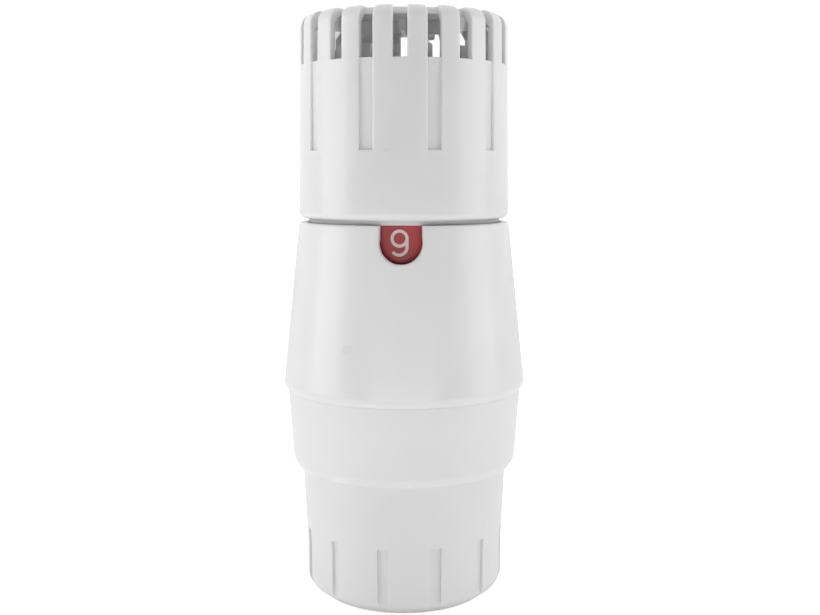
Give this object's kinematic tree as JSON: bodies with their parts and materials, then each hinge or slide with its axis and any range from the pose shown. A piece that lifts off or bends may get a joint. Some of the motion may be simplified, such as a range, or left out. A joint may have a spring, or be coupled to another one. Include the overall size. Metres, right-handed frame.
{
  "type": "thermostatic radiator valve head",
  "caption": "Thermostatic radiator sensor head with a vented turning cap, a red setting dial behind a window, a tapered shell and a fluted union nut.",
  "frame": {"origin": "middle of the union nut's bottom ring, on the common axis", "axes": "+Z along the axis from the valve towards the cap; -Y is the front, where the setting window is"},
  "size_m": [0.0464, 0.0464, 0.1104],
  "materials": {
    "shell_white": "moulded ABS, gloss white",
    "cap_white": "moulded ABS, gloss white",
    "grip_white": "moulded plastic, satin white",
    "dial_red": "moulded plastic, red",
    "dial_print": "raised print, pale",
    "inner_plastic": "glass-filled nylon, off-white",
    "carrier_plastic": "acetal, light grey",
    "brass": "turned brass",
    "spring_steel": "bright spring steel",
    "sensor_metal": "drawn can, satin",
    "bellows_metal": "thin tombac",
    "rubber_black": "nitrile rubber"
  },
  "bodies": {
    "housing": {"lower_sleeve": "shell_white", "upper_shell": "shell_white", "locking_tab": "shell_white", "base_socket": "inner_plastic", "base_circlip": "spring_steel", "nut_retaining_ring": "spring_steel", "inner_frame": "inner_plastic", "frame_screws": "spring_steel", "cap_snap_ring": "spring_steel", "friction_ring": "rubber_black"},
    "nut": {"nut_cover": "grip_white", "nut_insert": "brass"},
    "handwheel": {"cap": "cap_white", "cover_disc": "cap_white", "dial_ring": "dial_red", "dial_numerals": "dial_print", "spindle_nut": "inner_plastic"},
    "carrier": {"sensor_carrier": "carrier_plastic", "spring_retainer": "spring_steel", "sensor_cage": "inner_plastic", "return_spring": "spring_steel", "overtravel_spring": "spring_steel"},
    "sensor": {"sensor_can": "sensor_metal", "fill_stub": "sensor_metal", "sensor_end_plate": "brass", "bellows": "bellows_metal"},
    "pin": {"push_pin": "spring_steel", "spring_collar": "carrier_plastic", "piston": "carrier_plastic", "pin_foot": "carrier_plastic"}
  },
  "joints": [
    {"name": "nut_spin", "type": "hinge", "parent": "housing", "child": "nut", "pos_m": [0, 0, 0.0062], "axis": [0, 0, 1], "continuous": true},
    {"name": "cap_turn", "type": "hinge", "parent": "housing", "child": "handwheel", "pos_m": [0, 0, 0.0727], "axis": [0, 0, 1], "range_deg": [-270, 0]},
    {"name": "carrier_slide", "type": "slide", "parent": "housing", "child": "carrier", "axis": [0, 0, 1], "range_m": [-0.00365, 0]},
    {"name": "sensor_float", "type": "slide", "parent": "carrier", "child": "sensor", "axis": [0, 0, 1], "range_m": [0, 0.0015], "stiffness_N_per_m": 4000, "deforming": ["overtravel_spring"]},
    {"name": "pin_slide", "type": "slide", "parent": "sensor", "child": "pin", "axis": [0, 0, -1], "range_m": [0, 0.0025], "stiffness_N_per_m": 800, "deforming": ["return_spring", "bellows"]}
  ],
  "couplings": [
    {"joint": "carrier_slide", "follows": "cap_turn", "m_per_rad": 0.00076394}
  ]
}
